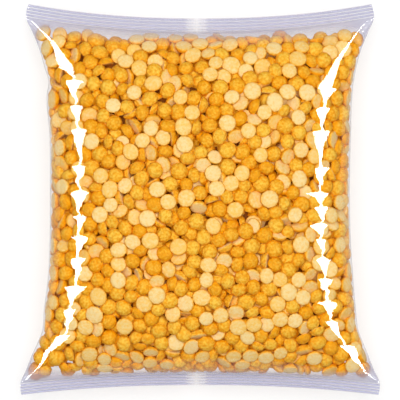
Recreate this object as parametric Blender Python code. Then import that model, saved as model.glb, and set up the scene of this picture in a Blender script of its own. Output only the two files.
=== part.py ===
"""A clear, sealed pillow bag packed tight with split peas, as one closed solid.

The bag lies on its back with its front up: X runs across it, Y runs along it
towards the top seal, and Z is up. The origin is on the surface that the bag
lies on, under the middle of its outline. All sizes are in metres.
"""
import math

import bmesh
import bpy
import numpy as np

MM = 0.001

# The side edges, as the distance from the middle line at a place along Y
LEFT_SIDE = (
    (-78.1, 71.5), (-75.9, 71.9), (-73.6, 71.9), (-68.0, 69.6), (-61.4, 67.0),
    (-56.5, 64.7), (-52.6, 63.2), (-43.4, 62.3), (-31.8, 60.8), (-15.4, 60.0),
    (0.2, 59.9), (25.8, 60.1), (42.0, 61.2), (47.6, 60.6), (52.5, 62.1),
    (60.9, 64.5), (67.0, 67.0), (73.2, 69.6), (75.8, 69.5), (78.5, 68.6),
)
RIGHT_SIDE = (
    (-78.1, 71.5), (-75.9, 71.9), (-73.7, 72.0), (-68.0, 69.6), (-61.4, 67.0),
    (-56.5, 65.0), (-53.3, 63.7), (-42.6, 62.2), (-26.6, 60.9), (-15.4, 60.2),
    (0.2, 59.8), (26.2, 60.3), (46.2, 61.3), (52.5, 62.4), (59.4, 64.2),
    (67.0, 67.2), (73.6, 69.7), (75.8, 69.5), (78.5, 68.6),
)

# The two end seals: each is a flat strip that curves in at its middle
TOP_SEAL_INNER = 67.6 * MM
TOP_SEAL_OUTER = 72.7 * MM
TOP_INNER_BOW = 6.0 * MM
TOP_OUTER_BOW = 5.8 * MM
BOTTOM_SEAL_INNER = -69.6 * MM
BOTTOM_SEAL_OUTER = -74.1 * MM
BOTTOM_INNER_BOW = -4.1 * MM
BOTTOM_OUTER_BOW = -4.0 * MM
BOW_POWER = 2.2
BOW_REACH = 3.0
SEAL_HALF_THICKNESS = 0.40 * MM
SEAL_BLUNTNESS = 8.0
RIBS = 4
RIB_DEPTH = 0.22 * MM

# The filled pillow between the seals
FRONT_RISE = 22.5 * MM
BACK_DROP = 19.4 * MM
MIDDLE_HEIGHT = 18.6 * MM
SEAL_HEIGHT = 14.0 * MM
FRONT_ROUNDNESS = 2.5
BACK_ROUNDNESS = 3.1
EAR_ROUNDNESS = 1.55
EAR_REACH = 7.0
FILL_POWER = 3.0
FILL_SHARPNESS = 0.52

# The seam that closes the tube of film runs down the back, near its middle line
SEAM_PLACE = -1.4 * MM
SEAM_HALF_WIDTH = 3.6 * MM
SEAM_EDGE = 0.4 * MM
SEAM_HEIGHT = 0.45 * MM
SEAM_IN_SEAL = 0.15 * MM

# Pinched folds of the film along the sides, at places along Y
LEFT_PINCHES = (53.0, 47.5, 28.0, 3.5, -14.0, -34.0, -53.5)
RIGHT_PINCHES = (44.0, 27.5, 3.0, -9.5, -23.0, -40.0, -57.5)
PINCH_DEPTH = 1.1 * MM
PINCH_HALF_LENGTH = 2.6 * MM
PINCH_START = 0.62

# How finely the solid is divided
BODY_RINGS = 50
SIDE_POINTS = 17
SIDE_CROWDING = 0.9
RING_CROWDING = 0.22

FILM_COLOUR = (0.80, 0.47, 0.07, 1.0)
FILM_ROUGHNESS = 0.22


def clear_scene():
    """Remove every object, so that the file holds only the bag."""
    for item in list(bpy.data.objects):
        bpy.data.objects.remove(item, do_unlink=True)


def smooth_through(places, values, y):
    """A smooth curve through the given values, read at y."""
    slopes = np.gradient(values, places)
    i = int(np.clip(np.searchsorted(places, y) - 1, 0, len(places) - 2))
    span = places[i + 1] - places[i]
    t = min(max((y - places[i]) / span, 0.0), 1.0)
    start = values[i] * (1 + 2 * t) * (1 - t) ** 2 + slopes[i] * span * t * (1 - t) ** 2
    end = values[i + 1] * t * t * (3 - 2 * t) - slopes[i + 1] * span * t * t * (1 - t)
    return start + end


def half_width(side, y):
    """The distance from the middle line to a side edge at y."""
    places, values = np.array(side).T * MM
    return smooth_through(places, values, y)


def seal_stations(inner, outer):
    """Places across a seal strip, one on each crest and each groove of its ribs."""
    return [inner + (outer - inner) * k / (2 * RIBS) for k in range(2 * RIBS + 1)]


def body_stations():
    """Places along the pillow, closer together towards the two seals."""
    middle = (TOP_SEAL_INNER + BOTTOM_SEAL_INNER) / 2
    reach = (TOP_SEAL_INNER - BOTTOM_SEAL_INNER) / 2
    places = []
    for k in range(1, BODY_RINGS):
        s = 2 * k / BODY_RINGS - 1
        v = s * (1 + RING_CROWDING - RING_CROWDING * s * s)
        places.append(middle + reach * v)
    return places


def bow_at(y):
    """How much further out the side edges are than the middle, along Y."""
    if y > 0:
        t = (y - TOP_SEAL_INNER) / (TOP_SEAL_OUTER - TOP_SEAL_INNER)
        bow = TOP_INNER_BOW + (TOP_OUTER_BOW - TOP_INNER_BOW) * min(max(t, 0), 1)
        return bow * min(y / TOP_SEAL_INNER, 1) ** BOW_REACH
    t = (y - BOTTOM_SEAL_INNER) / (BOTTOM_SEAL_OUTER - BOTTOM_SEAL_INNER)
    bow = BOTTOM_INNER_BOW + (BOTTOM_OUTER_BOW - BOTTOM_INNER_BOW) * min(max(t, 0), 1)
    return bow * min(y / BOTTOM_SEAL_INNER, 1) ** BOW_REACH


def fullness(y):
    """How full the pillow is at y: 1 in the middle and 0 at the seals."""
    middle = (TOP_SEAL_INNER + BOTTOM_SEAL_INNER) / 2
    reach = (TOP_SEAL_INNER - BOTTOM_SEAL_INNER) / 2
    v = min(abs(y - middle) / reach, 1.0)
    return (1 - v ** FILL_POWER) ** FILL_SHARPNESS


def rib_wave(y):
    """The crimp of the seal strips, which both of their faces follow."""
    for inner, outer in ((TOP_SEAL_INNER, TOP_SEAL_OUTER),
                         (BOTTOM_SEAL_INNER, BOTTOM_SEAL_OUTER)):
        t = (y - inner) / (outer - inner)
        if 0 <= t <= 1:
            return RIB_DEPTH * math.cos(2 * math.pi * RIBS * t)
    return 0.0


def bulge(u, roundness):
    """The outline of a rounded section, 1 in the middle and 0 at its edge."""
    return max(1 - abs(u) ** roundness, 0.0) ** (1 / roundness)


def roundness_at(y, middle_roundness):
    """Full and blunt in the middle, pinched to flat ears at the corners."""
    reach = TOP_SEAL_INNER if y > 0 else -BOTTOM_SEAL_INNER
    ear = min(abs(y) / reach, 1.0) ** EAR_REACH
    return middle_roundness + (EAR_ROUNDNESS - middle_roundness) * ear


def pinch(x, u, y):
    """How far the film is drawn in by the folds along the sides."""
    places = RIGHT_PINCHES if x > 0 else LEFT_PINCHES
    across = min(max((abs(u) - PINCH_START) / (1 - PINCH_START), 0.0), 1.0)
    along = sum(math.exp(-((y - p * MM) / PINCH_HALF_LENGTH) ** 2) for p in places)
    return PINCH_DEPTH * along * math.sin(math.pi * across)


def seam_step(x):
    """1 on the back seam and 0 beside it."""
    return 1.0 if abs(x - SEAM_PLACE) <= SEAM_HALF_WIDTH + SEAM_EDGE / 2 else 0.0


def across_places(left, right):
    """X places of one ring, from the left edge to the right edge."""
    right_foot = SEAM_PLACE + SEAM_HALF_WIDTH + SEAM_EDGE
    left_foot = SEAM_PLACE - SEAM_HALF_WIDTH - SEAM_EDGE
    share = [math.sin(math.pi / 2 * k / SIDE_POINTS) ** SIDE_CROWDING
             for k in range(SIDE_POINTS + 1)]
    rightward = [right_foot + (right - right_foot) * s for s in share]
    leftward = [left_foot - (left + left_foot) * s for s in share]
    seam = [SEAM_PLACE + SEAM_HALF_WIDTH * step for step in (-1, 0, 1)]
    return leftward[::-1] + seam + rightward


def surface_heights(x, u, y, side_y):
    """Front and back height of the bag at one place."""
    full = fullness(y)
    level = SEAL_HEIGHT + (MIDDLE_HEIGHT - SEAL_HEIGHT) * full + rib_wave(y)
    strip = SEAL_HALF_THICKNESS * bulge(u, SEAL_BLUNTNESS)
    drawn_in = pinch(x, u, side_y) * full
    front = FRONT_RISE * full * bulge(u, roundness_at(y, FRONT_ROUNDNESS))
    back = BACK_DROP * full * bulge(u, roundness_at(y, BACK_ROUNDNESS))
    seam = seam_step(x)
    top = level + strip + max(front - drawn_in, 0.0)
    bottom = level - strip - max(back - drawn_in, 0.0) - SEAM_HEIGHT * seam
    if full == 0.0:
        top += SEAM_IN_SEAL * seam
    return top, max(bottom, 0.0)


def ring_at(y):
    """The front row and the back row of points of one ring."""
    bow = bow_at(y)
    left = half_width(LEFT_SIDE, y + bow)
    right = half_width(RIGHT_SIDE, y + bow)
    front, back = [], []
    for x in across_places(left, right):
        u = x / (right if x > 0 else left)
        place = y + bow * abs(u) ** BOW_POWER
        top, bottom = surface_heights(x, u, y, place)
        front.append((x, place, top))
        back.append((x, place, bottom))
    return front, back


def add_row(mesh, front, back):
    """Points of one ring in the mesh: both rows share their two end points."""
    upper = [mesh.verts.new(point) for point in front]
    lower = [upper[0]] + [mesh.verts.new(point) for point in back[1:-1]] + [upper[-1]]
    return upper, lower


def bridge(mesh, first, second, outward_up):
    """Faces between two neighbouring rows of points."""
    for j in range(len(first) - 1):
        corners = (first[j], first[j + 1], second[j + 1], second[j])
        mesh.faces.new(corners if outward_up else corners[::-1])


def close_end(mesh, upper, lower, facing_top):
    """The thin end face of a seal strip, as a ladder between its two rows."""
    for j in range(len(upper) - 1):
        corners = [upper[j], upper[j + 1], lower[j + 1], lower[j]]
        loop = [c for k, c in enumerate(corners) if c not in corners[:k]]
        mesh.faces.new(loop if facing_top else loop[::-1])


def film_material():
    """Glossy film over golden peas, as one plain colour."""
    material = bpy.data.materials.new("film_over_peas")
    material.use_nodes = True
    shader = material.node_tree.nodes["Principled BSDF"]
    shader.inputs["Base Color"].default_value = FILM_COLOUR
    shader.inputs["Roughness"].default_value = FILM_ROUGHNESS
    shader.inputs["Metallic"].default_value = 0.0
    return material


def make_bag():
    """Loft the rings from the bottom seal to the top seal into one solid."""
    stations = seal_stations(BOTTOM_SEAL_INNER, BOTTOM_SEAL_OUTER)[::-1]
    stations += body_stations()
    stations += seal_stations(TOP_SEAL_INNER, TOP_SEAL_OUTER)
    mesh = bmesh.new()
    rows = [add_row(mesh, *ring_at(y)) for y in stations]
    for (upper, lower), (next_upper, next_lower) in zip(rows, rows[1:]):
        bridge(mesh, upper, next_upper, True)
        bridge(mesh, lower, next_lower, False)
    close_end(mesh, *rows[0], False)
    close_end(mesh, *rows[-1], True)
    data = bpy.data.meshes.new("bag")
    mesh.to_mesh(data)
    mesh.free()
    data.shade_smooth()
    data.materials.append(film_material())
    bag = bpy.data.objects.new("bag", data)
    bpy.context.scene.collection.objects.link(bag)
    return bag


clear_scene()
make_bag()
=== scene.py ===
# %% [markdown]
# # A clear bag of yellow split peas
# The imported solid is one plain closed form. On the real object that form is two
# things: a skin of clear, glossy film, and some thousands of loose split peas that
# press against it from inside. This lesson builds the film on the solid's own
# sizes, lets the peas settle against it, and lights both as in a studio.

# %% Load the frame
import math

import bpy
import numpy as np
from mathutils import Matrix
from mathutils.bvhtree import BVHTree


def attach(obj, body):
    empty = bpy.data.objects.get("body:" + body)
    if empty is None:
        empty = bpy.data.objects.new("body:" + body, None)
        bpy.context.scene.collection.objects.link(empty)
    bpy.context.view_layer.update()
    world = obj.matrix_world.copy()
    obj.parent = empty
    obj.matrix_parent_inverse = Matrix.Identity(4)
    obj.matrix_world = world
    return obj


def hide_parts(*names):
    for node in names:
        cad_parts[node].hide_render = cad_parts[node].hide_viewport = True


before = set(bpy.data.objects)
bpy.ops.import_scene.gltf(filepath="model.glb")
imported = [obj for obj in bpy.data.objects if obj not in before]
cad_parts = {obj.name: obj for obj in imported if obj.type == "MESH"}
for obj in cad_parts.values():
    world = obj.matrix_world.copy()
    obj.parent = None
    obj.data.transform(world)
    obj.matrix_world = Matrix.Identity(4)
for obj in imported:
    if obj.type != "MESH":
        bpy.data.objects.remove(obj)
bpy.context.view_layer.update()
MM = 0.001

# %% [markdown]
# ## The sizes of the bag
# The film has to keep the solid's form, so its sizes are the solid's own: the two
# side edges, the curved end seals, and how full the pillow is between them. Lengths
# are in millimetres until a mesh is made. X runs across the bag and Y along it.

# %% Sizes of the bag
# Each side edge is pairs of a place along Y and the distance there from the middle line
LEFT_SIDE = (
    (-78.1, 71.5), (-75.9, 71.9), (-73.6, 71.9), (-68.0, 69.6), (-61.4, 67.0),
    (-56.5, 64.7), (-52.6, 63.2), (-43.4, 62.3), (-31.8, 60.8), (-15.4, 60.0),
    (0.2, 59.9), (25.8, 60.1), (42.0, 61.2), (47.6, 60.6), (52.5, 62.1),
    (60.9, 64.5), (67.0, 67.0), (73.2, 69.6), (75.8, 69.5), (78.5, 68.6),
)
RIGHT_SIDE = (
    (-78.1, 71.5), (-75.9, 71.9), (-73.7, 72.0), (-68.0, 69.6), (-61.4, 67.0),
    (-56.5, 65.0), (-53.3, 63.7), (-42.6, 62.2), (-26.6, 60.9), (-15.4, 60.2),
    (0.2, 59.8), (26.2, 60.3), (46.2, 61.3), (52.5, 62.4), (59.4, 64.2),
    (67.0, 67.2), (73.6, 69.7), (75.8, 69.5), (78.5, 68.6),
)
TOP_SEAL = {"inner": 67.6, "outer": 72.7, "inner_bow": 6.0, "outer_bow": 5.8}
BOTTOM_SEAL = {"inner": -69.6, "outer": -74.1, "inner_bow": -4.1, "outer_bow": -4.0}
BOW_POWER = 2.2
BOW_REACH = 3.0
SEAL_HALF_THICKNESS = 0.40
SEAL_BLUNTNESS = 8.0
RIBS = 4
RIB_DEPTH = 0.20
FRONT_RISE = 22.5
BACK_DROP = 19.4
MIDDLE_HEIGHT = 18.6
SEAL_HEIGHT = 14.0
FRONT_ROUNDNESS = 2.5
BACK_ROUNDNESS = 3.1
EAR_ROUNDNESS = 1.55
EAR_REACH = 7.0
FILL_POWER = 3.0
FILL_SHARPNESS = 0.52
SEAM_PLACE = -1.4
SEAM_HALF_WIDTH = 3.6
SEAM_EDGE = 1.2
SEAM_HEIGHT = 0.45
SEAM_IN_SEAL = 0.15

pillow_middle = (TOP_SEAL["inner"] + BOTTOM_SEAL["inner"]) / 2
pillow_reach = (TOP_SEAL["inner"] - BOTTOM_SEAL["inner"]) / 2
print("pillow between the seals in mm:", round(2 * pillow_reach, 1))


# %% Curves that the sizes give
def smooth_through(points, y):
    """A smooth curve through pairs of place and value, read at y."""
    places, values = np.array(points).T
    slopes = np.gradient(values, places)
    i = np.clip(np.searchsorted(places, y) - 1, 0, len(places) - 2)
    span = places[i + 1] - places[i]
    t = np.clip((y - places[i]) / span, 0, 1)
    start = values[i] * (1 + 2 * t) * (1 - t) ** 2 + slopes[i] * span * t * (1 - t) ** 2
    return start + values[i + 1] * t * t * (3 - 2 * t) - slopes[i + 1] * span * t * t * (1 - t)


def bow_at(y):
    """How much further out the side edges are than the middle, along Y."""
    seal = TOP_SEAL if y > 0 else BOTTOM_SEAL
    t = np.clip((y - seal["inner"]) / (seal["outer"] - seal["inner"]), 0, 1)
    bow = seal["inner_bow"] + (seal["outer_bow"] - seal["inner_bow"]) * t
    return bow * min(y / seal["inner"], 1) ** BOW_REACH


def fullness(y):
    """How full the pillow is at y: 1 in the middle and 0 at the seals."""
    v = min(abs(y - pillow_middle) / pillow_reach, 1)
    return (1 - v ** FILL_POWER) ** FILL_SHARPNESS


def bulge(u, roundness):
    """The outline of a rounded section, 1 in the middle and 0 at its edge."""
    return np.clip(1 - np.abs(u) ** roundness, 0, 1) ** (1 / roundness)


def roundness_at(y, middle_roundness):
    """Full and blunt in the middle, pinched to flat ears at the corners."""
    seal = TOP_SEAL if y > 0 else BOTTOM_SEAL
    ear = min(y / seal["inner"], 1) ** EAR_REACH
    return middle_roundness + (EAR_ROUNDNESS - middle_roundness) * ear


def front_height(y, u):
    """Height of the plain pillow's front at y, where u is the share of its half width."""
    full = fullness(y)
    level = SEAL_HEIGHT + (MIDDLE_HEIGHT - SEAL_HEIGHT) * full
    return level + FRONT_RISE * full * bulge(u, roundness_at(y, FRONT_ROUNDNESS))


def rib_wave(y):
    """The crimp of the seal strips, which both of their faces follow."""
    for seal in (TOP_SEAL, BOTTOM_SEAL):
        t = (y - seal["inner"]) / (seal["outer"] - seal["inner"])
        if 0 <= t <= 1:
            return RIB_DEPTH * math.cos(2 * math.pi * RIBS * t)
    return 0.0


print("fullness 10 mm inside the top seal:", round(fullness(TOP_SEAL["inner"] - 10), 2))

# %% [markdown]
# ## Where the camera and the tall lamps stand
# The camera looks straight down. A tall narrow lamp stands on each side, just where
# a flat facet on the side of the film mirrors it into the camera. A mirror turns a
# ray by twice its own lean, and that gives the lamp's direction.

# %% Camera and tall lamps
CAMERA_HEIGHT = 1600.0
FACET_PLACE = (48.0, 36.0)
FACET_SLOPE = 0.42
LAMP_DISTANCE = 900.0

camera_lean = math.atan(FACET_PLACE[0] / (CAMERA_HEIGHT - FACET_PLACE[1]))
lamp_lean = 2 * math.atan(FACET_SLOPE) + camera_lean
lamp_x = FACET_PLACE[0] + LAMP_DISTANCE * math.sin(lamp_lean)
lamp_z = FACET_PLACE[1] + LAMP_DISTANCE * math.cos(lamp_lean)
print("tall lamps in mm: out", round(lamp_x), "up", round(lamp_z))

# %% [markdown]
# ## The film
# Film that is drawn over peas is not smoothly round at its sides. It breaks into
# narrow flat facets, one above the other, with a pinched fold between each two, and
# a tall lamp on each side of the bag shines back from them as a chain of hard white
# shapes. Painting those shapes would look wrong from any other side, so the facets
# are real: along each row of the film, the slope is held constant from the facet's
# inner edge to its outer edge, and the rest of the row takes up the difference. A rule
# with seeded unevenness lays the chain out, because folds in film fall by chance.

# %% Facets along the two sides
# A fold crosses each side at each pinch of the bag. Below a fold a facet starts wide
# and narrows to a neck at the next fold. Only the facet in the top ear widens downwards.
# Where two folds are far apart, a lesser one comes between them.
LEFT_FOLDS = (53.0, 47.5, 28.0, 3.5, -14.0, -34.0, -53.5)
RIGHT_FOLDS = (44.0, 27.5, 3.0, -9.5, -23.0, -40.0, -57.5)
LEFT_SEED, RIGHT_SEED = 7, 12
EAR_ENDS = (71.5, -71.5)
MIDDLE_INSET = 12.3
EAR_INSET = 1.4
INSET_POWER = 4
FACET_ROWS = 6
FOLD_HALF_HEIGHT = 0.25
FOLD_WIDTH = 0.3
LONGEST_FACET = 12.0
LESSER_PLACES = (0.4, 0.6)
WIDE_FACET = 8.6
LESSER_FACET = 5.2
EAR_FACET = 5.4
NECK = 0.8
EAR_NECK = 0.4
FACET_TAPER = 2.0
WIDTH_SPREAD = 0.25
RAGGED = 0.55


def facet_line(y, side):
    """The distance from the middle line at which the facets lie: well in, and near the ears' edge."""
    inset = MIDDLE_INSET + (EAR_INSET - MIDDLE_INSET) * abs(y / EAR_ENDS[0]) ** INSET_POWER
    return float(smooth_through(side, y)) - inset


def all_folds(folds, uneven):
    """The place of each fold from ear to ear, and how wide the facet below it starts."""
    placed = [(EAR_ENDS[0], EAR_FACET)]
    for top, bottom in zip(folds, folds[1:]):
        placed.append((top, WIDE_FACET))
        if top - bottom > LONGEST_FACET:
            placed.append((top + (bottom - top) * uneven.uniform(*LESSER_PLACES), LESSER_FACET))
    return [*placed, (folds[-1], EAR_FACET), (EAR_ENDS[1], EAR_NECK)]


def facet_chain(folds, side, seed):
    """Rows down one side: the place along Y, and the facet's inner and outer edge there."""
    uneven = np.random.default_rng(seed)
    placed = all_folds(folds, uneven)
    chain = []
    for number, ((top, widest), (bottom, _)) in enumerate(zip(placed, placed[1:])):
        in_top_ear, in_ear = number == 0, number in (0, len(placed) - 2)
        wide = widest * (1 + WIDTH_SPREAD * uneven.uniform(-1, 1))
        neck = EAR_NECK if in_ear else NECK * (1 + WIDTH_SPREAD * uneven.uniform(-1, 1))
        for share in np.linspace(0, 1, FACET_ROWS):
            y = top - FOLD_HALF_HEIGHT - (top - bottom - 2 * FOLD_HALF_HEIGHT) * share
            narrowed = 1 - share if in_top_ear else share
            width = neck + (wide - neck) * (1 - narrowed) ** FACET_TAPER
            centre = facet_line(y, side) + RAGGED * uneven.normal() * min(width / NECK, 1)
            chain.append((y, centre - width / 2, centre + width / 2))
        centre = facet_line(bottom, side)
        chain.append((bottom, centre - FOLD_WIDTH / 2, centre + FOLD_WIDTH / 2))
    return chain


LEFT_FACETS = facet_chain(LEFT_FOLDS, LEFT_SIDE, LEFT_SEED)
RIGHT_FACETS = facet_chain(RIGHT_FOLDS, RIGHT_SIDE, RIGHT_SEED)
print("rows of the left and the right chain:", len(LEFT_FACETS), len(RIGHT_FACETS))

# %% Slopes of the facets
FACET_GAP = 0.10
FACET_CREASE = 0.12
FACET_SPARE = 0.85
LEAST_FACET = 0.26
EDGE_FILM = 0.5
TILT_STEP = 0.5
LEAST_SLOPE = 0.34
MOST_SLOPE = 0.45
HALVINGS = 16
STEEPEST = 60.0
MOST_SCALE = 6.0


def facet_at(y, side, facets):
    """The facet's inner and outer edge and the bag's own edge, as distances from the middle."""
    bow = bow_at(y)
    edge = float(smooth_through(side, y + bow))
    places, inners, outers = np.array(facets)[::-1].T
    there = y + bow * (np.interp(y, places, inners) / edge) ** BOW_POWER
    outer = min(np.interp(there, places, outers), edge - EDGE_FILM)
    return min(np.interp(there, places, inners), outer - LEAST_FACET), outer, edge


def facet_centre(y, side, facets):
    """The middle of the facet, as a point on the plain pillow."""
    inner, outer, edge = facet_at(y, side, facets)
    u = (inner + outer) / 2 / edge
    return np.array([u * edge, y + bow_at(y) * u ** BOW_POWER, float(front_height(y, u))])


def slope_to_lamp(y, side, facets):
    """The slope across the facet at y that mirrors the tall lamp into the camera."""
    centre = facet_centre(y, side, facets)
    along = facet_centre(y + TILT_STEP, side, facets) - facet_centre(y - TILT_STEP, side, facets)
    edge = facet_at(y, side, facets)[2]
    bend = BOW_POWER * bow_at(y) * (centre[0] / edge) ** (BOW_POWER - 1) / edge
    to_camera = np.array([0, 0, CAMERA_HEIGHT]) - centre
    to_camera /= np.linalg.norm(to_camera)
    low, high = LEAST_SLOPE, MOST_SLOPE
    for _ in range(HALVINGS):
        slope = (low + high) / 2
        normal = np.cross((1, bend, -slope), along)
        mirrored = 2 * normal.dot(to_camera) * normal - normal.dot(normal) * to_camera
        if mirrored[0] * (lamp_z - centre[2]) < mirrored[2] * (lamp_x - centre[0]):
            low = slope
        else:
            high = slope
    return slope


def fitted(slope, step, low, high, drop):
    """Slopes scaled alike and kept between two limits, so that they fall by one drop."""
    least, most = 0.0, MOST_SCALE
    for _ in range(HALVINGS):
        scale = (least + most) / 2
        kept = np.clip(scale * slope, low, high)
        if np.sum(kept * step) < drop:
            least = scale
        else:
            most = scale
    return kept


def with_facet(across, heights, inner, outer, aimed):
    """The heights along one half row, with an even slope across its facet."""
    step = np.diff(across)
    slope = -np.diff(heights) / step
    middle = (across[1:] + across[:-1]) / 2
    before, beyond = middle < inner, middle > outer
    half = (outer - inner) / 2
    centre = np.interp(inner + half, across, heights)
    held = min(aimed, FACET_SPARE * (centre - heights[-1]) / half)
    to_edge = across[-1] - outer
    fall = heights[0] - centre - held * half
    left = centre - heights[-1] - held * half
    if left > held * to_edge:
        low, high = held + FACET_GAP, STEEPEST
    else:
        low, high = 0, max(held - FACET_GAP, 0)
    moved = np.clip(left, low * to_edge, high * to_edge) - left
    new = np.full(len(slope), held)
    new[before] = fitted(slope[before], step[before], 0, max(held - FACET_GAP, 0), fall - moved)
    left = heights[0] - heights[-1] - np.sum(new[~beyond] * step[~beyond])
    new[beyond] = fitted(slope[beyond], step[beyond], low, high, left)
    return heights[0] - np.concatenate([[0], np.cumsum(new * step)])


print("slope of the facets half way up:", round(slope_to_lamp(0, LEFT_SIDE, LEFT_FACETS), 3),
      round(slope_to_lamp(0, RIGHT_SIDE, RIGHT_FACETS), 3))

# %% Rows and columns of the film
INNER_COLUMNS = 34
FACET_COLUMNS = 4
OUTER_COLUMNS = 26
OUTER_CROWDING = 1.7
PILLOW_ROWS = 270
ROW_CROWDING = 0.22
ROWS_PER_RIB = 8
EVEN_ROWS = 8
CREASE_COLUMNS = 6


def row_places():
    """Places along Y of all rows, from the bottom seal's edge to the top seal's."""
    strip = np.linspace(0, 1, ROWS_PER_RIB * RIBS + 1)
    s = np.linspace(-1, 1, PILLOW_ROWS + 1)[1:-1]
    v = s * (1 + ROW_CROWDING - ROW_CROWDING * s * s)
    bottom = BOTTOM_SEAL["outer"] + (BOTTOM_SEAL["inner"] - BOTTOM_SEAL["outer"]) * strip
    top = TOP_SEAL["inner"] + (TOP_SEAL["outer"] - TOP_SEAL["inner"]) * strip
    return np.concatenate([bottom, pillow_middle + pillow_reach * v, top])


def half_row_places(start, inner, outer, edge):
    """Distances from the middle line of one half row's columns."""
    to_facet = np.linspace(start, inner - FACET_CREASE, INNER_COLUMNS)
    facet = np.linspace(inner + FACET_CREASE, outer - FACET_CREASE, FACET_COLUMNS)
    t = np.linspace(0, 1, OUTER_COLUMNS)
    to_edge = edge - (edge - outer - FACET_CREASE) * (1 - t) ** OUTER_CROWDING
    return np.concatenate([to_facet, facet, to_edge])


def half_row(y, side, facets, start):
    """One half row: distances across, places along, plain front, change by the facet, and back."""
    inner, outer, edge = facet_at(y, side, facets)
    across = half_row_places(start, inner, outer, edge)
    u = across / edge
    full = fullness(y)
    level = SEAL_HEIGHT + (MIDDLE_HEIGHT - SEAL_HEIGHT) * full + rib_wave(y)
    strip = SEAL_HALF_THICKNESS * bulge(u, SEAL_BLUNTNESS)
    front = front_height(y, u) + rib_wave(y)
    back = level - strip - BACK_DROP * full * bulge(u, roundness_at(y, BACK_ROUNDNESS))
    change = np.zeros(len(u))
    if full > 0:
        change = with_facet(across, front, inner, outer, slope_to_lamp(y, side, facets)) - front
    return across, y + bow_at(y) * u ** BOW_POWER, front + strip, change, back


def film_half(side, facets, start):
    """All rows of one half, with creases that fade out towards the middle."""
    half = np.array([half_row(y, side, facets, start) for y in row_places()])
    change = half[:, 3]
    weights = np.hanning(2 * EVEN_ROWS + 3)[1:-1]
    padded = np.pad(change, ((EVEN_ROWS, EVEN_ROWS), (0, 0)))
    even = sum(w * padded[k:k + len(change)] for k, w in enumerate(weights / weights.sum()))
    to_facet = INNER_COLUMNS - 1 - np.arange(change.shape[1])
    change = change + np.clip(to_facet / CREASE_COLUMNS, 0, 1) * (even - change)
    in_seal = np.array([fullness(y) == 0 for y in row_places()])
    change[in_seal] = 0
    return half[:, 0], half[:, 1], half[:, 2] + change, half[:, 4]


def film_rows():
    """The points of every whole row, front and back, from the left to the right."""
    right = film_half(RIGHT_SIDE, RIGHT_FACETS, SEAM_PLACE + SEAM_HALF_WIDTH + SEAM_EDGE)
    left = film_half(LEFT_SIDE, LEFT_FACETS, -SEAM_PLACE + SEAM_HALF_WIDTH + SEAM_EDGE)
    seam = SEAM_PLACE + SEAM_HALF_WIDTH * np.array([-1.0, 0.0, 1.0])
    rows = []
    for n, y in enumerate(row_places()):
        x = np.concatenate([-left[0][n][::-1], seam, right[0][n]])
        lines = []
        for k, lift in ((1, 0), (2, SEAM_IN_SEAL if fullness(y) == 0 else 0), (3, -SEAM_HEIGHT)):
            middle = np.full(3, (left[k][n][0] + right[k][n][0]) / 2 + lift)
            lines.append(np.concatenate([left[k][n][::-1], middle, right[k][n]]))
        along, front, back = lines
        rows.append((np.stack([x, along, front], 1), np.stack([x, along, np.maximum(back, 0)], 1)))
    return rows


rows = film_rows()
print("rows and columns of the film:", len(rows), len(rows[0][0]))

# %% Make the film's mesh
def mesh_object(name, points, faces):
    """A mesh object from points in millimetres."""
    data = bpy.data.meshes.new(name)
    data.from_pydata((np.asarray(points) * MM).tolist(), [], faces)
    data.validate()
    data.shade_smooth()
    thing = bpy.data.objects.new(name, data)
    bpy.context.scene.collection.objects.link(thing)
    return thing


def loft(rows):
    """Points and outward faces of one closed skin through rows of front and back."""
    points, uppers, lowers = [], [], []
    for front, back in rows:
        first = len(points)
        count = len(front)
        points.extend(front)
        points.extend(back[1:-1])
        inside = np.arange(first + count, first + 2 * count - 2)
        uppers.append(np.arange(first, first + count))
        lowers.append(np.concatenate([[first], inside, [first + count - 1]]))
    faces = []
    for k in range(len(rows) - 1):
        a, b = uppers[k], uppers[k + 1]
        faces += np.stack([a[:-1], a[1:], b[1:], b[:-1]], 1).tolist()
        a, b = lowers[k], lowers[k + 1]
        faces += np.stack([b[:-1], b[1:], a[1:], a[:-1]], 1).tolist()
    faces += end_faces(uppers[0][::-1], lowers[0][::-1])
    faces += end_faces(uppers[-1], lowers[-1])
    return np.array(points), faces


def end_faces(upper, lower):
    """The thin end of the skin, as a ladder between its front and its back row."""
    ladder = []
    for j in range(len(upper) - 1):
        corners = [upper[j], upper[j + 1], lower[j + 1], lower[j]]
        ladder.append([int(c) for k, c in enumerate(corners) if c not in corners[:k]][::-1])
    return ladder


film_points, film_faces = loft(rows)
film = mesh_object("bag_film", film_points, film_faces)
print("film faces:", len(film_faces))

# %% [markdown]
# ## How deep a place is inside the bag
# The peas have to know where the film is. A tree of the film's faces gives the
# distance from any point, and a grid of such distances, read in between its points,
# gives it for thousands of points at once.

# %% Depth grid
GRID_PITCH = 1.6
GRID_MARGIN = 3.0
LAST_CELL = 1.001
LEAST_LENGTH = 1e-6
tree = BVHTree.FromPolygons(film_points.tolist(), film_faces)
grid_low = film_points.min(0) - GRID_MARGIN
grid_size = np.ceil((film_points.max(0) + GRID_MARGIN - grid_low) / GRID_PITCH).astype(int) + 1


def depth_of(point):
    """Distance to the film, above 0 inside the bag."""
    _, _, _, distance = tree.find_nearest(point)
    _, above, _, _ = tree.ray_cast(point, (0, 0, 1))
    return distance if above is not None and above.z > 0 else -distance


ticks = [grid_low[k] + GRID_PITCH * np.arange(grid_size[k]) for k in range(3)]
nodes = np.stack(np.meshgrid(*ticks, indexing="ij"), -1).reshape(-1, 3)
depths = np.array([depth_of(p) for p in nodes]).reshape(grid_size)
slopes = np.stack(np.gradient(depths, GRID_PITCH), -1)
fields = np.concatenate([depths[..., None], slopes], -1).astype(np.float32)


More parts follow.
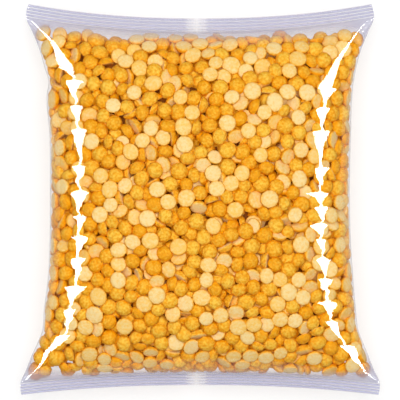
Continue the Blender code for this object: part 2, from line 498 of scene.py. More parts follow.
def read_depth(points):
    """Depth and its unit direction inwards at many points, between the grid's own."""
    place = (points - grid_low) / GRID_PITCH
    place = np.clip(place, 0, np.array(fields.shape[:3]) - LAST_CELL)
    low = place.astype(int)
    part = (place - low).astype(np.float32)
    total = 0
    for corner in np.ndindex(2, 2, 2):
        weight = np.prod(np.where(corner, part, 1 - part), -1, keepdims=True)
        i, j, k = np.moveaxis(low + corner, -1, 0)
        total = total + weight * fields[i, j, k]
    inward = total[..., 1:]
    inward = inward / np.maximum(np.linalg.norm(inward, axis=-1, keepdims=True), LEAST_LENGTH)
    return total[..., 0], inward


print("depth grid:", list(grid_size), "deepest mm:", round(float(depths.max()), 1))

# %% [markdown]
# ## The split peas
# A split pea is half of a small ball: one flat cut face and one round back. They are
# not laid out by hand, because peas in a bag lie as chance and pressure leave them.
# They start at chance places in a layer about three peas deep under the film, and
# most of those next to it lie flat against it, face out or back out. Then they are
# pushed apart round after round wherever two overlap or one reaches through the film,
# and each push also turns the pea, until all of them lie against each other.

# %% Start the peas
PEA_RADIUS = 3.38
PEA_SPREAD = 0.06
LEAST_SIZE, MOST_SIZE = 0.82, 1.16
PEA_HEIGHT = 0.93
PEA_COUNT = 3080
LAYER_DEPTH = 10.5
FIRST_DEPTH = 2.2
BALL_RADIUS = 2.77
SPREAD_ROUNDS = 60
PAIR_EVERY = 8
TOUCH_MARGIN = 0.2
LEAST_APART = 1e-3
TRIES = 4
SEED = 11
chance = np.random.default_rng(SEED)


def random_places(count):
    """Chance places in the layer under the film."""
    found = []
    while len(found) < count:
        points = chance.uniform(film_points.min(0), film_points.max(0), (TRIES * count, 3))
        depth, _ = read_depth(points)
        found.extend(points[(depth > FIRST_DEPTH) & (depth < LAYER_DEPTH)])
    return np.array(found[:count], dtype=np.float32)


def close_pairs(place, size):
    """Ordered pairs of peas that are near enough to touch."""
    square = (place ** 2).sum(1)
    gap = square[:, None] + square[None] - 2 * place @ place.T
    near = gap < (size[:, None] + size[None] + TOUCH_MARGIN) ** 2
    np.fill_diagonal(near, False)
    return np.nonzero(near)


def summed(index, values, count):
    """Sums of rows of values that share an index."""
    return np.stack([np.bincount(index, values[:, k], count) for k in range(3)], 1)


def spread(place):
    """Even out the places, by pushing apart a ball round each of them."""
    size = np.full(len(place), BALL_RADIUS, dtype=np.float32)
    for number in range(SPREAD_ROUNDS):
        if number % PAIR_EVERY == 0:
            first, second = close_pairs(place, size)
        away = place[first] - place[second]
        apart = np.maximum(np.linalg.norm(away, axis=1), LEAST_APART)
        away *= (np.maximum(2 * BALL_RADIUS - apart, 0) / 2 / apart)[:, None]
        place = place + summed(first, away, len(place))
        depth, inward = read_depth(place)
        back = np.maximum(FIRST_DEPTH - depth, 0) - np.maximum(depth - LAYER_DEPTH, 0)
        place = (place + back[:, None] * inward).astype(np.float32)
    return place


pea_place = spread(random_places(PEA_COUNT))
pea_size = PEA_RADIUS * np.clip(chance.normal(1, PEA_SPREAD, PEA_COUNT), LEAST_SIZE, MOST_SIZE)
pea_size = pea_size.astype(np.float32)
print("peas:", PEA_COUNT, "from mm across:", round(2 * float(pea_size.min()), 1))

# %% Turn the peas
FACE_OUT = 0.50
LAID_DEPTH = 4.0
LAID_PULL = 1.7


def across(a, b):
    """Cross products of rows."""
    x, y, z = a[..., 0], a[..., 1], a[..., 2]
    u, v, w = b[..., 0], b[..., 1], b[..., 2]
    return np.stack([y * w - z * v, z * u - x * w, x * v - y * u], -1)


def unit(rows):
    """Rows at length 1."""
    return rows / np.linalg.norm(rows, axis=1, keepdims=True)


def first_turns(place):
    """Turns as matrices: next to the film most peas lie flat, and deeper every way alike."""
    count = len(place)
    depth, inward = read_depth(place)
    side = np.where(chance.random(count) < FACE_OUT, 1, -1)
    pull = np.where(depth < LAID_DEPTH, LAID_PULL, 0) * side
    up = unit(pull[:, None] * inward + chance.normal(size=(count, 3)))
    right = unit(across(chance.normal(size=(count, 3)), up))
    return np.stack([right, across(up, right), up], 2).astype(np.float32)


pea_turn = first_turns(pea_place)
print("peas laid against the film:", int((read_depth(pea_place)[0] < LAID_DEPTH).sum()))

# %% Points all over one pea, for finding overlaps
CENTRE_SHARE = 0.42
CENTRE_HEIGHT = CENTRE_SHARE * PEA_HEIGHT
LEAST_ANGLE = 1e-9
LEAST_RADIUS = 0.05
# Each ring is its radius, its share of the height, its count of points and its turn
PROBE_RINGS = (
    (0.0, 0.0, 1, 0.0), (0.84, 0.0, 8, 0.0), (0.98, 0.16, 8, 0.5), (0.71, 0.70, 6, 0.0), (0.0, 1.0, 1, 0.0),
)


def ring_points(radius, height, count, shift):
    """Points round one ring of a pea of radius 1."""
    angle = 2 * np.pi * (np.arange(count) + shift) / count
    return np.stack([radius * np.cos(angle), radius * np.sin(angle), np.full(count, height)], 1)


probe = np.concatenate([
    ring_points(radius, rise * PEA_HEIGHT, count, shift) for radius, rise, count, shift in PROBE_RINGS
]).astype(np.float32)
probe[:, 2] -= CENTRE_HEIGHT


def way_out(points, size):
    """The shortest way out of a pea at the origin, from points inside it."""
    tall = PEA_HEIGHT * size
    height = points[:, 2] + CENTRE_HEIGHT * size
    pull = points / size[:, None] ** 2
    pull[:, 2] = height / tall ** 2
    radius = np.sqrt(np.sum(pull * points, 1) + pull[:, 2] * (height - points[:, 2]))
    steep = np.linalg.norm(pull, axis=1) / np.maximum(radius, LEAST_RADIUS)
    to_back = (1 - radius) / np.maximum(steep, LEAST_LENGTH)
    out = pull / np.maximum(np.linalg.norm(pull, axis=1), LEAST_LENGTH)[:, None]
    flat_first = height < to_back
    out[flat_first] = (0, 0, -1)
    return out * np.where(flat_first, height, to_back)[:, None]


def turned(axis_angle):
    """Small turns as matrices, from axis times angle."""
    angle = np.linalg.norm(axis_angle, axis=1)
    x, y, z = (axis_angle / np.maximum(angle, LEAST_ANGLE)[:, None]).T
    c, s = np.cos(angle), np.sin(angle)
    return np.stack([
        c + x * x * (1 - c), x * y * (1 - c) - z * s, x * z * (1 - c) + y * s,
        y * x * (1 - c) + z * s, c + y * y * (1 - c), y * z * (1 - c) - x * s,
        z * x * (1 - c) - y * s, z * y * (1 - c) + x * s, c + z * z * (1 - c),
    ], 1).reshape(-1, 3, 3).astype(np.float32)


print("points tested on each pea:", len(probe))

# %% Find where peas overlap
def touches(place, turn, size, pairs):
    """Each point of one pea that is inside another: both peas, arms and the push."""
    first, second = pairs
    arms = np.matmul(probe * size[:, None, None], turn.transpose(0, 2, 1))
    reach = (place[first] - place[second])[:, None] + arms[first]
    local = np.matmul(reach, turn[second])
    large = size[second][:, None]
    height = local[..., 2] + CENTRE_HEIGHT * large
    round_off = (local[..., 0] ** 2 + local[..., 1] ** 2) / large ** 2
    round_off += (height / (PEA_HEIGHT * large)) ** 2
    m, k = np.nonzero((height > 0) & (round_off < 1))
    i, j = first[m], second[m]
    push = way_out(local[m, k], size[j])
    push = np.matmul(turn[j], push[..., None])[..., 0]
    return i, j, arms[i, k], reach[m, k], push, arms


# %% Push and turn the peas
ROUNDS = 70
TELL_EVERY = 20
WALL_GAP = 0.25
WALL_WEIGHT = 2
PRESS = 0.05
PRESS_UNTIL = 0.85
LAYER_PULL = 0.3
LEAST_WEIGHT = 1e-3
PUSH = 1.3
TURN = 1.1
CALM = 0.01
INSIDE_ROUNDS = 4
INSIDE_GAP = 0.5
TOP_CLEARANCE = 3.3
BOTTOM_CLEARANCE = 1.9
EAR_CLEARANCE = 2.6
MOST_MOVE = 0.8
MOST_TURN = 0.25


def one_round(place, turn, size, pairs, press, calm):
    """Push and turn every pea once."""
    count = len(place)
    i, j, arm, reach, push, arms = touches(place, turn, size, pairs)
    weight = np.linalg.norm(push, axis=1)
    push = push * weight[:, None] / 2
    move = summed(i, push, count) - summed(j, push, count)
    spin = summed(i, across(arm, push), count) - summed(j, across(reach, push), count)
    total = np.bincount(i, weight, count) + np.bincount(j, weight, count)
    lever = np.bincount(i, weight * (arm ** 2).sum(1), count)
    lever += np.bincount(j, weight * (reach ** 2).sum(1), count)
    depth, inward = read_depth(place[:, None] + arms)
    past = np.maximum(WALL_GAP - depth, 0)[..., None]
    move += (WALL_WEIGHT * past ** 2 * inward).sum(1)
    spin += (WALL_WEIGHT * past ** 2 * across(arms, inward)).sum(1)
    total += WALL_WEIGHT * past.sum((1, 2))
    lever += (WALL_WEIGHT * past * arms ** 2).sum((1, 2))
    move = PUSH * 2 * move / np.maximum(total, LEAST_WEIGHT)[:, None]
    spin = TURN * 2 * spin / np.maximum(lever, LEAST_WEIGHT)[:, None]
    depth, inward = read_depth(place)
    move -= (press + LAYER_PULL * np.maximum(depth - LAYER_DEPTH, 0))[:, None] * inward
    facing = turn[:, :, 2]
    side = np.sign((facing * inward).sum(1))
    ease = np.where(depth < LAID_DEPTH, calm, 0) * side
    spin += ease[:, None] * across(facing, inward)
    excess = np.maximum(np.linalg.norm(spin, axis=1) / MOST_TURN, 1)[:, None]
    place = (place + np.clip(move, -MOST_MOVE, MOST_MOVE)).astype(np.float32)
    return place, np.matmul(turned(spin / excess), turn), weight


def settle(place, turn, size, rounds, calm):
    """Rounds of pushing, with a light pressure towards the film until near the end."""
    for number in range(rounds):
        if number % PAIR_EVERY == 0:
            pairs = close_pairs(place, size)
        press = PRESS if number < PRESS_UNTIL * rounds else 0.0
        place, turn, overlaps = one_round(place, turn, size, pairs, press, calm)
        if number % TELL_EVERY == 0 or number == rounds - 1:
            print("round", number, "overlap mm: mean", round(float(overlaps.mean()), 3), "most",
                  round(float(overlaps.max()), 2), "points", len(overlaps))
    return place, turn


def kept_inside(place, turn, size):
    """Places moved inwards where a pea still reaches through the film."""
    arms = np.matmul(probe * size[:, None, None], turn.transpose(0, 2, 1))
    for _ in range(INSIDE_ROUNDS):
        depth, inward = read_depth(place[:, None] + arms)
        worst = np.take_along_axis(inward, depth.argmin(1)[:, None, None], 1)[:, 0]
        place = place + np.maximum(INSIDE_GAP - depth.min(1), 0)[:, None] * worst
    print("peas that reach through the film:", int((depth.min(1) < 0).sum()))
    return place


def clear_of_seals(place):
    """Which peas are far enough from both seals, where the film gets too narrow for them."""
    clear = []
    for x, y, _ in place:
        edge = float(smooth_through(LEFT_SIDE if x < 0 else RIGHT_SIDE, y))
        straight = y - bow_at(y) * (abs(x) / edge) ** BOW_POWER
        needed = (TOP_CLEARANCE if y > 0 else BOTTOM_CLEARANCE) + EAR_CLEARANCE * (x / edge) ** 2
        clear.append(pillow_reach - abs(straight - pillow_middle) > needed)
    return np.array(clear)


calm = CALM * chance.random(PEA_COUNT)
rounds = ROUNDS
pea_place, pea_turn = settle(pea_place, pea_turn, pea_size, rounds, calm)
pea_place = kept_inside(pea_place, pea_turn, pea_size)
clear = clear_of_seals(pea_place)
print("peas too near a seal, left out:", int((~clear).sum()))

# %% [markdown]
# ## Node helpers
# Both the node trees that shape the peas and the ones that colour them are built in
# the same way: add a node, set it, and join sockets.

# %% Node helpers
def add(tree, kind, **settings):
    """Add a node and set its properties."""
    node = tree.nodes.new(kind)
    for key, value in settings.items():
        setattr(node, key, value)
    return node


def fill(node, values):
    """Set a node's inputs by name or by number."""
    for key, value in values.items():
        node.inputs[key].default_value = value
    return node


def join(tree, source, target):
    """Join two sockets."""
    tree.links.new(source, target)


# %% [markdown]
# ## The shape of one pea
# A pea's outline is one half profile turned round an axis: out along the flat face,
# round a soft edge and up over the back. With twelve sides and six rings it has few
# faces, which matters for a shape that comes thousands of times. Each kind of pea
# bends that profile a little: rounder, longer, flatter, or with a dented back.

# %% Make one pea of each kind
SIDES = 12
OUTLINE_SHARE = 0.15
DENT_FROM = 0.3
KIND_SEED = 20
# Each ring is its radius, its height, its share of cut face and its share of rim, which is painted shade
FACE_RINGS = (
    (0.50, -0.03, 1.0, 0.1), (0.84, -0.01, 0.9, 0.35), (0.955, 0.045, 0.4, 0.8), (1.0, 0.16, 0.0, 1.0),
)
BACK_ANGLES = (30, 56)
KINDS = {
    "round": {"length": 1.00, "width": 1.00, "height": 1.00, "dent": 0.03},
    "oval": {"length": 1.05, "width": 0.93, "height": 1.02, "dent": 0.05},
    "flat": {"length": 1.02, "width": 0.98, "height": 0.88, "dent": 0.05},
    "dented": {"length": 1.00, "width": 0.96, "height": 1.00, "dent": 0.12},
}


def pea_profile():
    """Radius, height, share of cut face and share of painted rim shade of each ring."""
    rings = list(FACE_RINGS)
    edge = FACE_RINGS[-1][1]
    for angle in BACK_ANGLES:
        rise = edge + (1 - edge) * math.sin(math.radians(angle))
        rings.append((math.cos(math.radians(angle)), rise, 0.0, 1 - angle / 90))
    return rings


def make_pea(kind, shape, seed):
    """One split pea of radius 1, with its cut face down."""
    wobble = np.random.default_rng(seed)
    angle = 2 * np.pi * np.arange(SIDES) / SIDES
    outline = 1 + shape["dent"] * OUTLINE_SHARE * wobble.normal(size=SIDES)
    points, cut, rim = [(0.0, 0.0, FACE_RINGS[0][1] - CENTRE_HEIGHT)], [1.0], [0.0]
    for radius, rise, cut_share, rim_share in pea_profile():
        dents = 1 - shape["dent"] * wobble.random(SIDES) * (rise > DENT_FROM)
        r = radius * outline
        x = shape["length"] * r * np.cos(angle)
        y = shape["width"] * r * np.sin(angle)
        z = PEA_HEIGHT * shape["height"] * rise * dents - CENTRE_HEIGHT
        points.extend(zip(x, y, z))
        cut.extend([cut_share] * SIDES)
        rim.extend([rim_share] * SIDES)
    points.append((0.0, 0.0, PEA_HEIGHT * shape["height"] - CENTRE_HEIGHT))
    pea = mesh_object("pea_" + kind, np.array(points) / MM, pea_faces(len(pea_profile())))
    # The rim share is painted shade: deepest at the pea's edge, none at the crown of its back.
    for name, shares in (("cut_face", [*cut, 0.0]), ("rim", [*rim, 0.0])):
        pea.data.attributes.new(name, "FLOAT", "POINT").data.foreach_set("value", shares)
    return pea


def pea_faces(rings):
    """Faces of a pea: a fan, bands between rings, and a fan."""
    faces = []
    for j in range(SIDES):
        k = (j + 1) % SIDES
        faces.append((0, 1 + k, 1 + j))
        for ring in range(rings - 1):
            low, high = 1 + ring * SIDES, 1 + (ring + 1) * SIDES
            faces.append((low + j, low + k, high + k, high + j))
        last = 1 + (rings - 1) * SIDES
        faces.append((last + j, last + k, 1 + rings * SIDES))
    return faces


pea_shapes = {kind: make_pea(kind, KINDS[kind], KIND_SEED + n) for n, kind in enumerate(KINDS)}
print("faces of one pea:", len(pea_shapes["round"].data.polygons))

# %% [markdown]
# ## The colour of a pea
# The cut face is smooth, pale and creamy. The back is a warm yellow, mottled and
# finely wrinkled. Both are painted deeper towards the rim between them, as shade where
# the round pea turns from the light. No two peas are quite the same. The shares of cut
# face and rim shade are stored on the pea's points and a tone is drawn for each pea,
# so that one material serves all of them.

# %% Pea material
CUT_PALE = (0.900, 0.690, 0.310, 1)
CUT_DEEP = (0.910, 0.560, 0.110, 1)
BACK_PALE = (0.940, 0.600, 0.070, 1)
BACK_DEEP = (0.890, 0.390, 0.001, 1)
TONE_DEPTH = 0.75
# How much deeper the rim is painted, as shade where the round pea turns from the light.
RIM_SHADE_DEPTH = 0.55
SPECK_TINT = (0.94, 0.86, 0.50, 1)
SPECK_SIZE = 1000.0
SPECK_PALE = 0.42
SPECK_DARK = 0.62
BACK_CONTRAST = 2.4
FACE_CONTRAST = 2.6
WRINKLE_SIZE = 800.0
WRINKLE_DEPTH = 0.0008
BACK_WRINKLE = 0.80
FACE_WRINKLE = 0.30
PEA_ROUGHNESS = 0.55
PEA_GLOSS = 0.12
# The faint orange glow is painted light: it warms the peas in their shaded gaps, as light passing through
# real peas would.
PEA_PAINTED_GLOW = (1.0, 0.25, 0.0, 1)
PEA_PAINTED_GLOW_STRENGTH = 0.03


def pea_colour(tree, speck, cut):
    """The pale cut face and the mottled back, both painted deeper towards the rim between them, as shade.
    """
    tone = add(tree, "ShaderNodeAttribute", attribute_name="tone").outputs["Fac"]
    rim = add(tree, "ShaderNodeAttribute", attribute_name="rim").outputs["Fac"]
    # The tone differs at random from pea to pea. The rim share adds painted shade.
    toned = scaled(tree, rim, RIM_SHADE_DEPTH, scaled(tree, tone, TONE_DEPTH, 0.0))
    face_shade = shade_with(tree, speck, FACE_CONTRAST, toned)
    back_shade = shade_with(tree, speck, BACK_CONTRAST, toned)
    mottle = fill(add(tree, "ShaderNodeMapRange"), {1: SPECK_PALE, 2: SPECK_DARK, 3: 0.0, 4: 1.0})
    join(tree, speck, mottle.inputs[0])
    back = add(tree, "ShaderNodeMix", data_type="RGBA", blend_type="MULTIPLY")
    back.inputs["B"].default_value = SPECK_TINT
    join(tree, mottle.outputs[0], back.inputs["Factor"])
    join(tree, two_colours(tree, back_shade, BACK_PALE, BACK_DEEP), back.inputs["A"])
    both = add(tree, "ShaderNodeMix", data_type="RGBA")
    join(tree, cut, both.inputs["Factor"])
    join(tree, back.outputs["Result"], both.inputs["A"])
    join(tree, two_colours(tree, face_shade, CUT_PALE, CUT_DEEP), both.inputs["B"])
    return both.outputs["Result"]


def pea_bump(tree, where, cut):
    """Fine wrinkles, deep on the back and faint on the cut face."""
    wrinkle = fill(add(tree, "ShaderNodeTexNoise"), {"Scale": WRINKLE_SIZE, "Detail": 3.0})
    join(tree, where, wrinkle.inputs["Vector"])
    bump = fill(add(tree, "ShaderNodeBump"), {"Distance": WRINKLE_DEPTH})
    join(tree, scaled(tree, cut, FACE_WRINKLE - BACK_WRINKLE, BACK_WRINKLE), bump.inputs["Strength"])
    join(tree, wrinkle.outputs["Fac"], bump.inputs["Height"])
    return bump.outputs["Normal"]


def pea_material():
    """Waxy split pea: smooth where it is cut, mottled and wrinkled on its back, with a faint painted glow.
    """
    material = bpy.data.materials.new("split_pea")
    material.use_nodes = True
    tree = material.node_tree
    shader = tree.nodes["Principled BSDF"]
    where = add(tree, "ShaderNodeTexCoord").outputs["Object"]
    cut = add(tree, "ShaderNodeAttribute", attribute_name="cut_face").outputs["Fac"]
    speck = fill(add(tree, "ShaderNodeTexNoise"), {"Scale": SPECK_SIZE, "Detail": 2.0})
    join(tree, where, speck.inputs["Vector"])
    join(tree, pea_colour(tree, speck.outputs["Fac"], cut), shader.inputs["Base Color"])
    join(tree, pea_bump(tree, where, cut), shader.inputs["Normal"])
    fill(shader, {"Roughness": PEA_ROUGHNESS, "Specular IOR Level": PEA_GLOSS})
    # Painted light: a faint orange glow, though the pea is no lamp.
    fill(shader, {"Emission Color": PEA_PAINTED_GLOW, "Emission Strength": PEA_PAINTED_GLOW_STRENGTH})
    return material


def scaled(tree, source, factor, base):
    """A value times a factor, on top of a base that is a number or another value."""
    node = fill(add(tree, "ShaderNodeMath", operation="MULTIPLY_ADD"), {1: factor})
    join(tree, source, node.inputs[0])
    if isinstance(base, float):
        node.inputs[2].default_value = base
    else:
        join(tree, base, node.inputs[2])
    return node.outputs[0]


def shade_with(tree, speck, contrast, toned):
    """How deep the colour is: the tone and the painted rim shade, less or more where the specks are."""
    centred = scaled(tree, speck, contrast, -contrast / 2)
    both = add(tree, "ShaderNodeMath", operation="ADD", use_clamp=True)
    join(tree, centred, both.inputs[0])
    join(tree, toned, both.inputs[1])
    return both.outputs[0]


def two_colours(tree, factor, first, second):
    """A blend of two colours by a factor."""
    mix = add(tree, "ShaderNodeMix", data_type="RGBA")
    mix.inputs["A"].default_value = first
    mix.inputs["B"].default_value = second
    join(tree, factor, mix.inputs["Factor"])
    return mix.outputs["Result"]


split_pea = pea_material()
print("pea colours, pale and deep:", CUT_PALE[:3], BACK_DEEP[:3])

# %% [markdown]
# ## All the peas
# Geometry Nodes put a pea on each point. The points carry what the settling gave: how
# each pea is turned and how large it is. The tree realizes the peas, because loose
# copies would be lost when the model is exported, and the result is made a mesh.

# %% Node tree that sets the peas
def pea_tree():
    """Points in, peas out: turned, sized and toned."""
    tree = bpy.data.node_groups.new("set_peas", "GeometryNodeTree")
    face = tree.interface
    for name, kind in (("Points", "Geometry"), ("Pea Shape", "Object"), ("Pea Size", "Float"),
                       ("Tone Seed", "Int"), ("Pea Material", "Material")):
        face.new_socket(name, in_out="INPUT", socket_type="NodeSocket" + kind)
    face.new_socket("Peas", in_out="OUTPUT", socket_type="NodeSocketGeometry")
    given = add(tree, "NodeGroupInput").outputs
    shape = add(tree, "GeometryNodeObjectInfo", transform_space="ORIGINAL")
    turn = fill(add(tree, "GeometryNodeInputNamedAttribute", data_type="QUATERNION"), {"Name": "turn"})
    size = fill(add(tree, "GeometryNodeInputNamedAttribute", data_type="FLOAT"), {"Name": "size"})
    scale = add(tree, "ShaderNodeMath", operation="MULTIPLY")
    place = add(tree, "GeometryNodeInstanceOnPoints")
    tone = add(tree, "FunctionNodeRandomValue", data_type="FLOAT")
    store = add(tree, "GeometryNodeStoreNamedAttribute", data_type="FLOAT", domain="INSTANCE")
    real = add(tree, "GeometryNodeRealizeInstances")
    finish = add(tree, "GeometryNodeSetMaterial")
    fill(store, {"Name": "tone"})
    join(tree, given["Pea Shape"], shape.inputs["Object"])
    join(tree, given["Points"], place.inputs["Points"])
    join(tree, shape.outputs["Geometry"], place.inputs["Instance"])
    join(tree, turn.outputs["Attribute"], place.inputs["Rotation"])
    join(tree, size.outputs["Attribute"], scale.inputs[0])
    join(tree, given["Pea Size"], scale.inputs[1])
    join(tree, scale.outputs[0], place.inputs["Scale"])
    join(tree, given["Tone Seed"], tone.inputs["Seed"])
    join(tree, place.outputs["Instances"], store.inputs["Geometry"])
    join(tree, tone.outputs["Value"], store.inputs["Value"])
    join(tree, store.outputs["Geometry"], real.inputs["Geometry"])
    join(tree, real.outputs["Geometry"], finish.inputs["Geometry"])
    join(tree, given["Pea Material"], finish.inputs["Material"])
    join(tree, finish.outputs["Geometry"], add(tree, "NodeGroupOutput").inputs["Peas"])
    return tree


set_peas = pea_tree()
print("nodes that set the peas:", len(set_peas.nodes))

# %% Set the peas
PEA_SIZE = MM


def pea_points(name, chosen):
    """A mesh of loose points that carry the turn and size of each pea."""
    cloud = mesh_object(name, pea_place[chosen], [])
    turns = [Matrix(m.tolist()).to_quaternion()[:] for m in pea_turn[chosen]]
    layer = cloud.data.attributes.new("turn", "QUATERNION", "POINT")
    layer.data.foreach_set("value", np.ravel(turns))
    layer = cloud.data.attributes.new("size", "FLOAT", "POINT")
    layer.data.foreach_set("value", pea_size[chosen])
    return cloud


def set_on_points(cloud, values):
    """Run the tree on the points and keep its result as a plain mesh."""
    modifier = cloud.modifiers.new("peas", "NODES")
    modifier.node_group = set_peas
    for item in set_peas.interface.items_tree:
        if item.name in values:
            modifier[item.identifier] = values[item.name]
    evaluated = cloud.evaluated_get(bpy.context.evaluated_depsgraph_get())
    made = bpy.data.meshes.new_from_object(evaluated)
    cloud.modifiers.remove(modifier)
    cloud.data = made
    return cloud


kind_of = chance.integers(0, len(KINDS), PEA_COUNT)
pieces = []
for number, kind in enumerate(KINDS):
    peas = pea_points("split_peas_" + kind, clear & (kind_of == number))
    set_on_points(peas, {"Pea Shape": pea_shapes[kind], "Pea Size": PEA_SIZE,
                         "Tone Seed": number, "Pea Material": split_pea})
    bpy.data.objects.remove(pea_shapes[kind])
    pieces.append(peas)
    print(peas.name, "faces:", len(peas.data.polygons))

# %% [markdown]
# ## What lies deeper
# Three peas down nothing can be told apart. A dark core closes the gaps there, as the
# peas behind do in the real bag, and spares the model a few thousand hidden peas. Its
# dark amber is painted shade: the peas it stands for are yellow, but lie in shade.

# %% Core
CORE_DEPTH = 8.0
# Painted shade: the dark amber of yellow peas that lie deep in shade.
CORE_SHADE_COLOUR = (0.32, 0.10, 0.006, 1)
CORE_ROUGHNESS = 0.8
CORE_SPECK = 400.0
CORE_DARKER = 0.6
CORE_STEPS = 41


def core_rows():
    """Rows of the film, drawn in by the same depth all round."""
    shrink = (pillow_reach - CORE_DEPTH) / pillow_reach
    rows = []
    for s in np.linspace(-1, 1, CORE_STEPS)[1:-1]:
        y = pillow_middle + pillow_reach * shrink * s
        full = fullness(pillow_middle + (y - pillow_middle) / shrink)
        edge = float(smooth_through(RIGHT_SIDE, y)) - CORE_DEPTH
        u = np.sin(np.pi / 2 * np.linspace(-1, 1, CORE_STEPS))
        front = MIDDLE_HEIGHT + (FRONT_RISE - CORE_DEPTH) * full * bulge(u, FRONT_ROUNDNESS)
        back = MIDDLE_HEIGHT - (BACK_DROP - CORE_DEPTH) * full * bulge(u, BACK_ROUNDNESS)
        along = np.full(len(u), y)
        rows.append((np.stack([edge * u, along, front], 1), np.stack([edge * u, along, back], 1)))
    return rows


def plain_material(name, colour, roughness):
    """A material of one colour with faint speckle."""
    material = bpy.data.materials.new(name)
    material.use_nodes = True
    tree = material.node_tree
    shader = tree.nodes["Principled BSDF"]
    speck = fill(add(tree, "ShaderNodeTexNoise"), {"Scale": CORE_SPECK, "Detail": 2.0})
    join(tree, add(tree, "ShaderNodeTexCoord").outputs["Object"], speck.inputs["Vector"])
    darker = tuple(CORE_DARKER * c for c in colour[:3]) + (1,)
    join(tree, two_colours(tree, speck.outputs["Fac"], darker, colour), shader.inputs["Base Color"])
    shader.inputs["Roughness"].default_value = roughness
    return material


core_points, core_faces = loft(core_rows())
core = mesh_object("deeper_peas", core_points, core_faces)
core.data.materials.append(plain_material("deep_peas_painted_shade", CORE_SHADE_COLOUR, CORE_ROUGHNESS))
pieces.append(core)
print("core faces:", len(core_faces))

# %% [markdown]
# ## The finish of the film
# Clear film shows what is behind it and shines where a lamp is mirrored in it, more
# so at a glancing angle. Where two films are sealed together they cloud over like
# milk, with a cool grey tint. A value on the film's points says how much milk each
# place has. On the seals it also carries painted shade and light along the ribs,
# white painted glints near the corners and a painted highlight along the back seam.

# %% How much milk the film has, with painted light on the seals
SEAL_MILK = 0.46
# The back seam's clearer band is a painted highlight, where the white floor shows through the seal.
SEAM_HIGHLIGHT_MILK = 0.03
SEAM_SOFTNESS = 3.0
# Milk along the ribs paints shade and light, and near the corners white painted glints.
RIB_SHADE = 0.48
CORNER_SHADE_AND_GLINT = 1.0
CORNER_POWER = 4
BOTTOM_SEAL_MILK = 0.56
TOP_HAZE_REACH = 3.4
BOTTOM_HAZE_REACH = 1.5
EAR_MILK = 0.46
EAR_GAP = 12.0
EDGE_GAP = 5.0


def seal_milk(y, x):
    """Milk of a seal strip: painted shade in its grooves and painted light between them, up to white
    painted glints near the corners, and a painted highlight where the back seam runs clearer.
    """
    corner = (np.abs(x) / LEFT_SIDE[0][1]) ** CORNER_POWER
    rib = 1 - (RIB_SHADE + (CORNER_SHADE_AND_GLINT - RIB_SHADE) * corner) * rib_wave(y) / RIB_DEPTH
    off_seam = (np.abs(x - SEAM_PLACE) - SEAM_HALF_WIDTH) / SEAM_SOFTNESS
    milk = SEAL_MILK if y > 0 else BOTTOM_SEAL_MILK
    return SEAM_HIGHLIGHT_MILK + (milk * rib - SEAM_HIGHLIGHT_MILK) * np.clip(off_seam + 0.5, 0, 1)


def pillow_milk(y, gap):
    """Milk of the pillow: a haze by the seals, and more where both films meet."""
    at_top = y > pillow_middle
    seal, reach = (TOP_SEAL, TOP_HAZE_REACH) if at_top else (BOTTOM_SEAL, BOTTOM_HAZE_REACH)
    haze = SEAL_MILK * math.exp(-((y - seal["inner"]) / reach) ** 2)
    widest = EDGE_GAP + (EAR_GAP - EDGE_GAP) * (y / seal["inner"]) ** EAR_REACH
    return np.maximum(haze, EAR_MILK * np.clip(2 - 2 * gap / widest, 0, 1))


def milk_and_painted_light_values():
    """How much milk the film has at each of its points, with painted light and shade on the seals."""
    values = []
    for y, (front, back) in zip(row_places(), rows):
        in_seal = fullness(y) == 0
        row = seal_milk(y, front[:, 0]) if in_seal else pillow_milk(y, front[:, 2] - back[:, 2])
        values.extend([*row, *row[1:-1]])
    return values


layer = film.data.attributes.new("milk_and_painted_light", "FLOAT", "POINT")
layer.data.foreach_set("value", milk_and_painted_light_values())
print("milk of the top and the bottom seal:", SEAL_MILK, BOTTOM_SEAL_MILK)

# %% Film material
FILM_TINT = (0.985, 0.985, 0.995, 1)
MILK = (0.50, 0.495, 0.66, 1)
MILK_ROUGHNESS = 0.35
FILM_ROUGHNESS = 0.02
HEAD_ON_SHINE = 0.04
GLANCE_POWER = 5.0
RIM_MILK = 0.30
RIM_POWER = 3.0


def shaped(tree, source, power, factor, base):
    """A value raised to a power, times a factor, on top of a base."""
    raised = fill(add(tree, "ShaderNodeMath", operation="POWER"), {1: power})
    join(tree, source, raised.inputs[0])
    return scaled(tree, raised.outputs[0], factor, base)


def mixed(tree, factor, first, second):
    """A mix of two shaders by a factor."""
    mix = add(tree, "ShaderNodeMixShader")
    for k, source in enumerate((factor, first, second)):
        join(tree, source, mix.inputs[k])
    return mix.outputs[0]


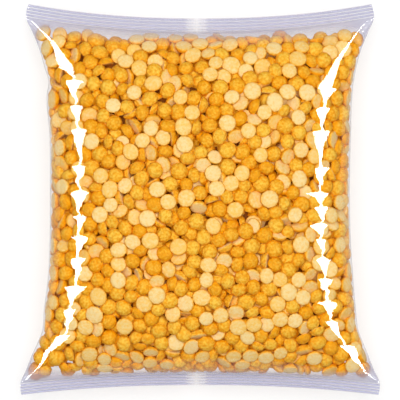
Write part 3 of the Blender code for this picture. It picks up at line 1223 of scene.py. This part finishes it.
def film_material():
    """Clear glossy film with milk in its seals, which also carries painted light and shade."""
    material = bpy.data.materials.new("clear_film")
    material.use_nodes = True
    tree = material.node_tree
    tree.nodes.clear()
    clear = fill(add(tree, "ShaderNodeBsdfTransparent"), {"Color": FILM_TINT})
    milk = fill(add(tree, "ShaderNodeBsdfPrincipled"), {"Base Color": MILK, "Roughness": MILK_ROUGHNESS})
    gloss = fill(add(tree, "ShaderNodeBsdfGlossy"), {"Roughness": FILM_ROUGHNESS})
    glance = fill(add(tree, "ShaderNodeLayerWeight"), {"Blend": 0.5}).outputs["Facing"]
    milk_and_painted_light = add(tree, "ShaderNodeAttribute", attribute_name="milk_and_painted_light").outputs["Fac"]
    shine = shaped(tree, glance, GLANCE_POWER, 1 - HEAD_ON_SHINE, HEAD_ON_SHINE)
    rim = shaped(tree, glance, RIM_POWER, RIM_MILK, 0.0)
    most = add(tree, "ShaderNodeMath", operation="MAXIMUM")
    join(tree, milk_and_painted_light, most.inputs[0])
    join(tree, rim, most.inputs[1])
    body = mixed(tree, most.outputs[0], clear.outputs[0], milk.outputs[0])
    whole = mixed(tree, shine, body, gloss.outputs[0])
    join(tree, whole, add(tree, "ShaderNodeOutputMaterial").inputs["Surface"])
    return material


film.data.materials.append(film_material())
pieces.append(film)
print("pieces:", [piece.name for piece in pieces])

# %% [markdown]
# ## Studio
# The photo is bright and almost without shadow: a white floor, wide soft light from
# above, and one tall narrow lamp on each side, which the facets mirror. The wide
# light is kept out of mirror images, so that the film over the middle stays clear.

# %% Floor, lamps and camera
FLOOR_REACH = 3000.0
FLOOR_GREY = 0.35
FLOOR_GLOW = 0.62
FLOOR_ROUGHNESS = 0.8
PHOTO_PIXELS = 400
PIXEL = 0.4
OUTLINE_HEIGHT = 16.0
LAMP_SIZE = (70.0, 4000.0)
LAMP_BRIGHTNESS = 38.0
WIDE_SIZE = (1100.0, 1100.0)
WIDE_PLACE = (0.0, 150.0, 1300.0)
WIDE_BRIGHTNESS = 5.35
WORLD_BRIGHTNESS = 0.16


def floor_material():
    """A grey surface that glows until it looks white, so that shadows stay faint."""
    material = bpy.data.materials.new("studio_floor")
    material.use_nodes = True
    shader = material.node_tree.nodes["Principled BSDF"]
    fill(shader, {"Base Color": (FLOOR_GREY, FLOOR_GREY, FLOOR_GREY, 1), "Roughness": FLOOR_ROUGHNESS})
    fill(shader, {"Emission Color": (1, 1, 1, 1), "Emission Strength": FLOOR_GLOW})
    return material


def area_lamp(name, place, size, brightness):
    """A rectangular lamp that faces the bag, with its long side along the bag."""
    data = bpy.data.lights.new(name, "AREA")
    data.shape = "RECTANGLE"
    data.size, data.size_y = size[0] * MM, size[1] * MM
    data.energy = brightness * math.pi * data.size * data.size_y
    lamp = bpy.data.objects.new(name, data)
    x, y, z = place
    lamp.location = (x * MM, y * MM, z * MM)
    lamp.rotation_euler = (-math.atan2(y, z), math.atan2(x, z), 0)
    lamp.visible_camera = False
    bpy.context.scene.collection.objects.link(lamp)
    return lamp


corner = FLOOR_REACH
floor = mesh_object("floor", [(-corner, -corner, 0), (corner, -corner, 0),
                              (corner, corner, 0), (-corner, corner, 0)], [(0, 1, 2, 3)])
floor.data.materials.append(floor_material())
for name, side in (("left_lamp", -1), ("right_lamp", 1)):
    tall = area_lamp(name, (side * lamp_x, 0, lamp_z), LAMP_SIZE, LAMP_BRIGHTNESS)
    tall.visible_diffuse = False
wide = area_lamp("wide_light", WIDE_PLACE, WIDE_SIZE, WIDE_BRIGHTNESS)
wide.visible_glossy = False

world = bpy.data.worlds.new("studio")
world.use_nodes = True
fill(world.node_tree.nodes["Background"], {"Color": (1, 1, 1, 1), "Strength": WORLD_BRIGHTNESS})
bpy.context.scene.world = world
world.cycles_visibility.glossy = False

camera_data = bpy.data.cameras.new("camera")
camera_data.lens = camera_data.sensor_width * (CAMERA_HEIGHT - OUTLINE_HEIGHT) / (PHOTO_PIXELS * PIXEL)
camera = bpy.data.objects.new("camera", camera_data)
camera.location = (0, 0, CAMERA_HEIGHT * MM)
bpy.context.scene.collection.objects.link(camera)
bpy.context.scene.camera = camera
bpy.context.scene.view_settings.view_transform = "Standard"
print("camera lens in mm:", round(camera_data.lens, 1))

# %% [markdown]
# ## Hand over
# Every piece rides on the one body. The film stands for the imported solid.

# %% Ride and replace
for piece in pieces:
    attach(piece, "root")
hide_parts("bag")
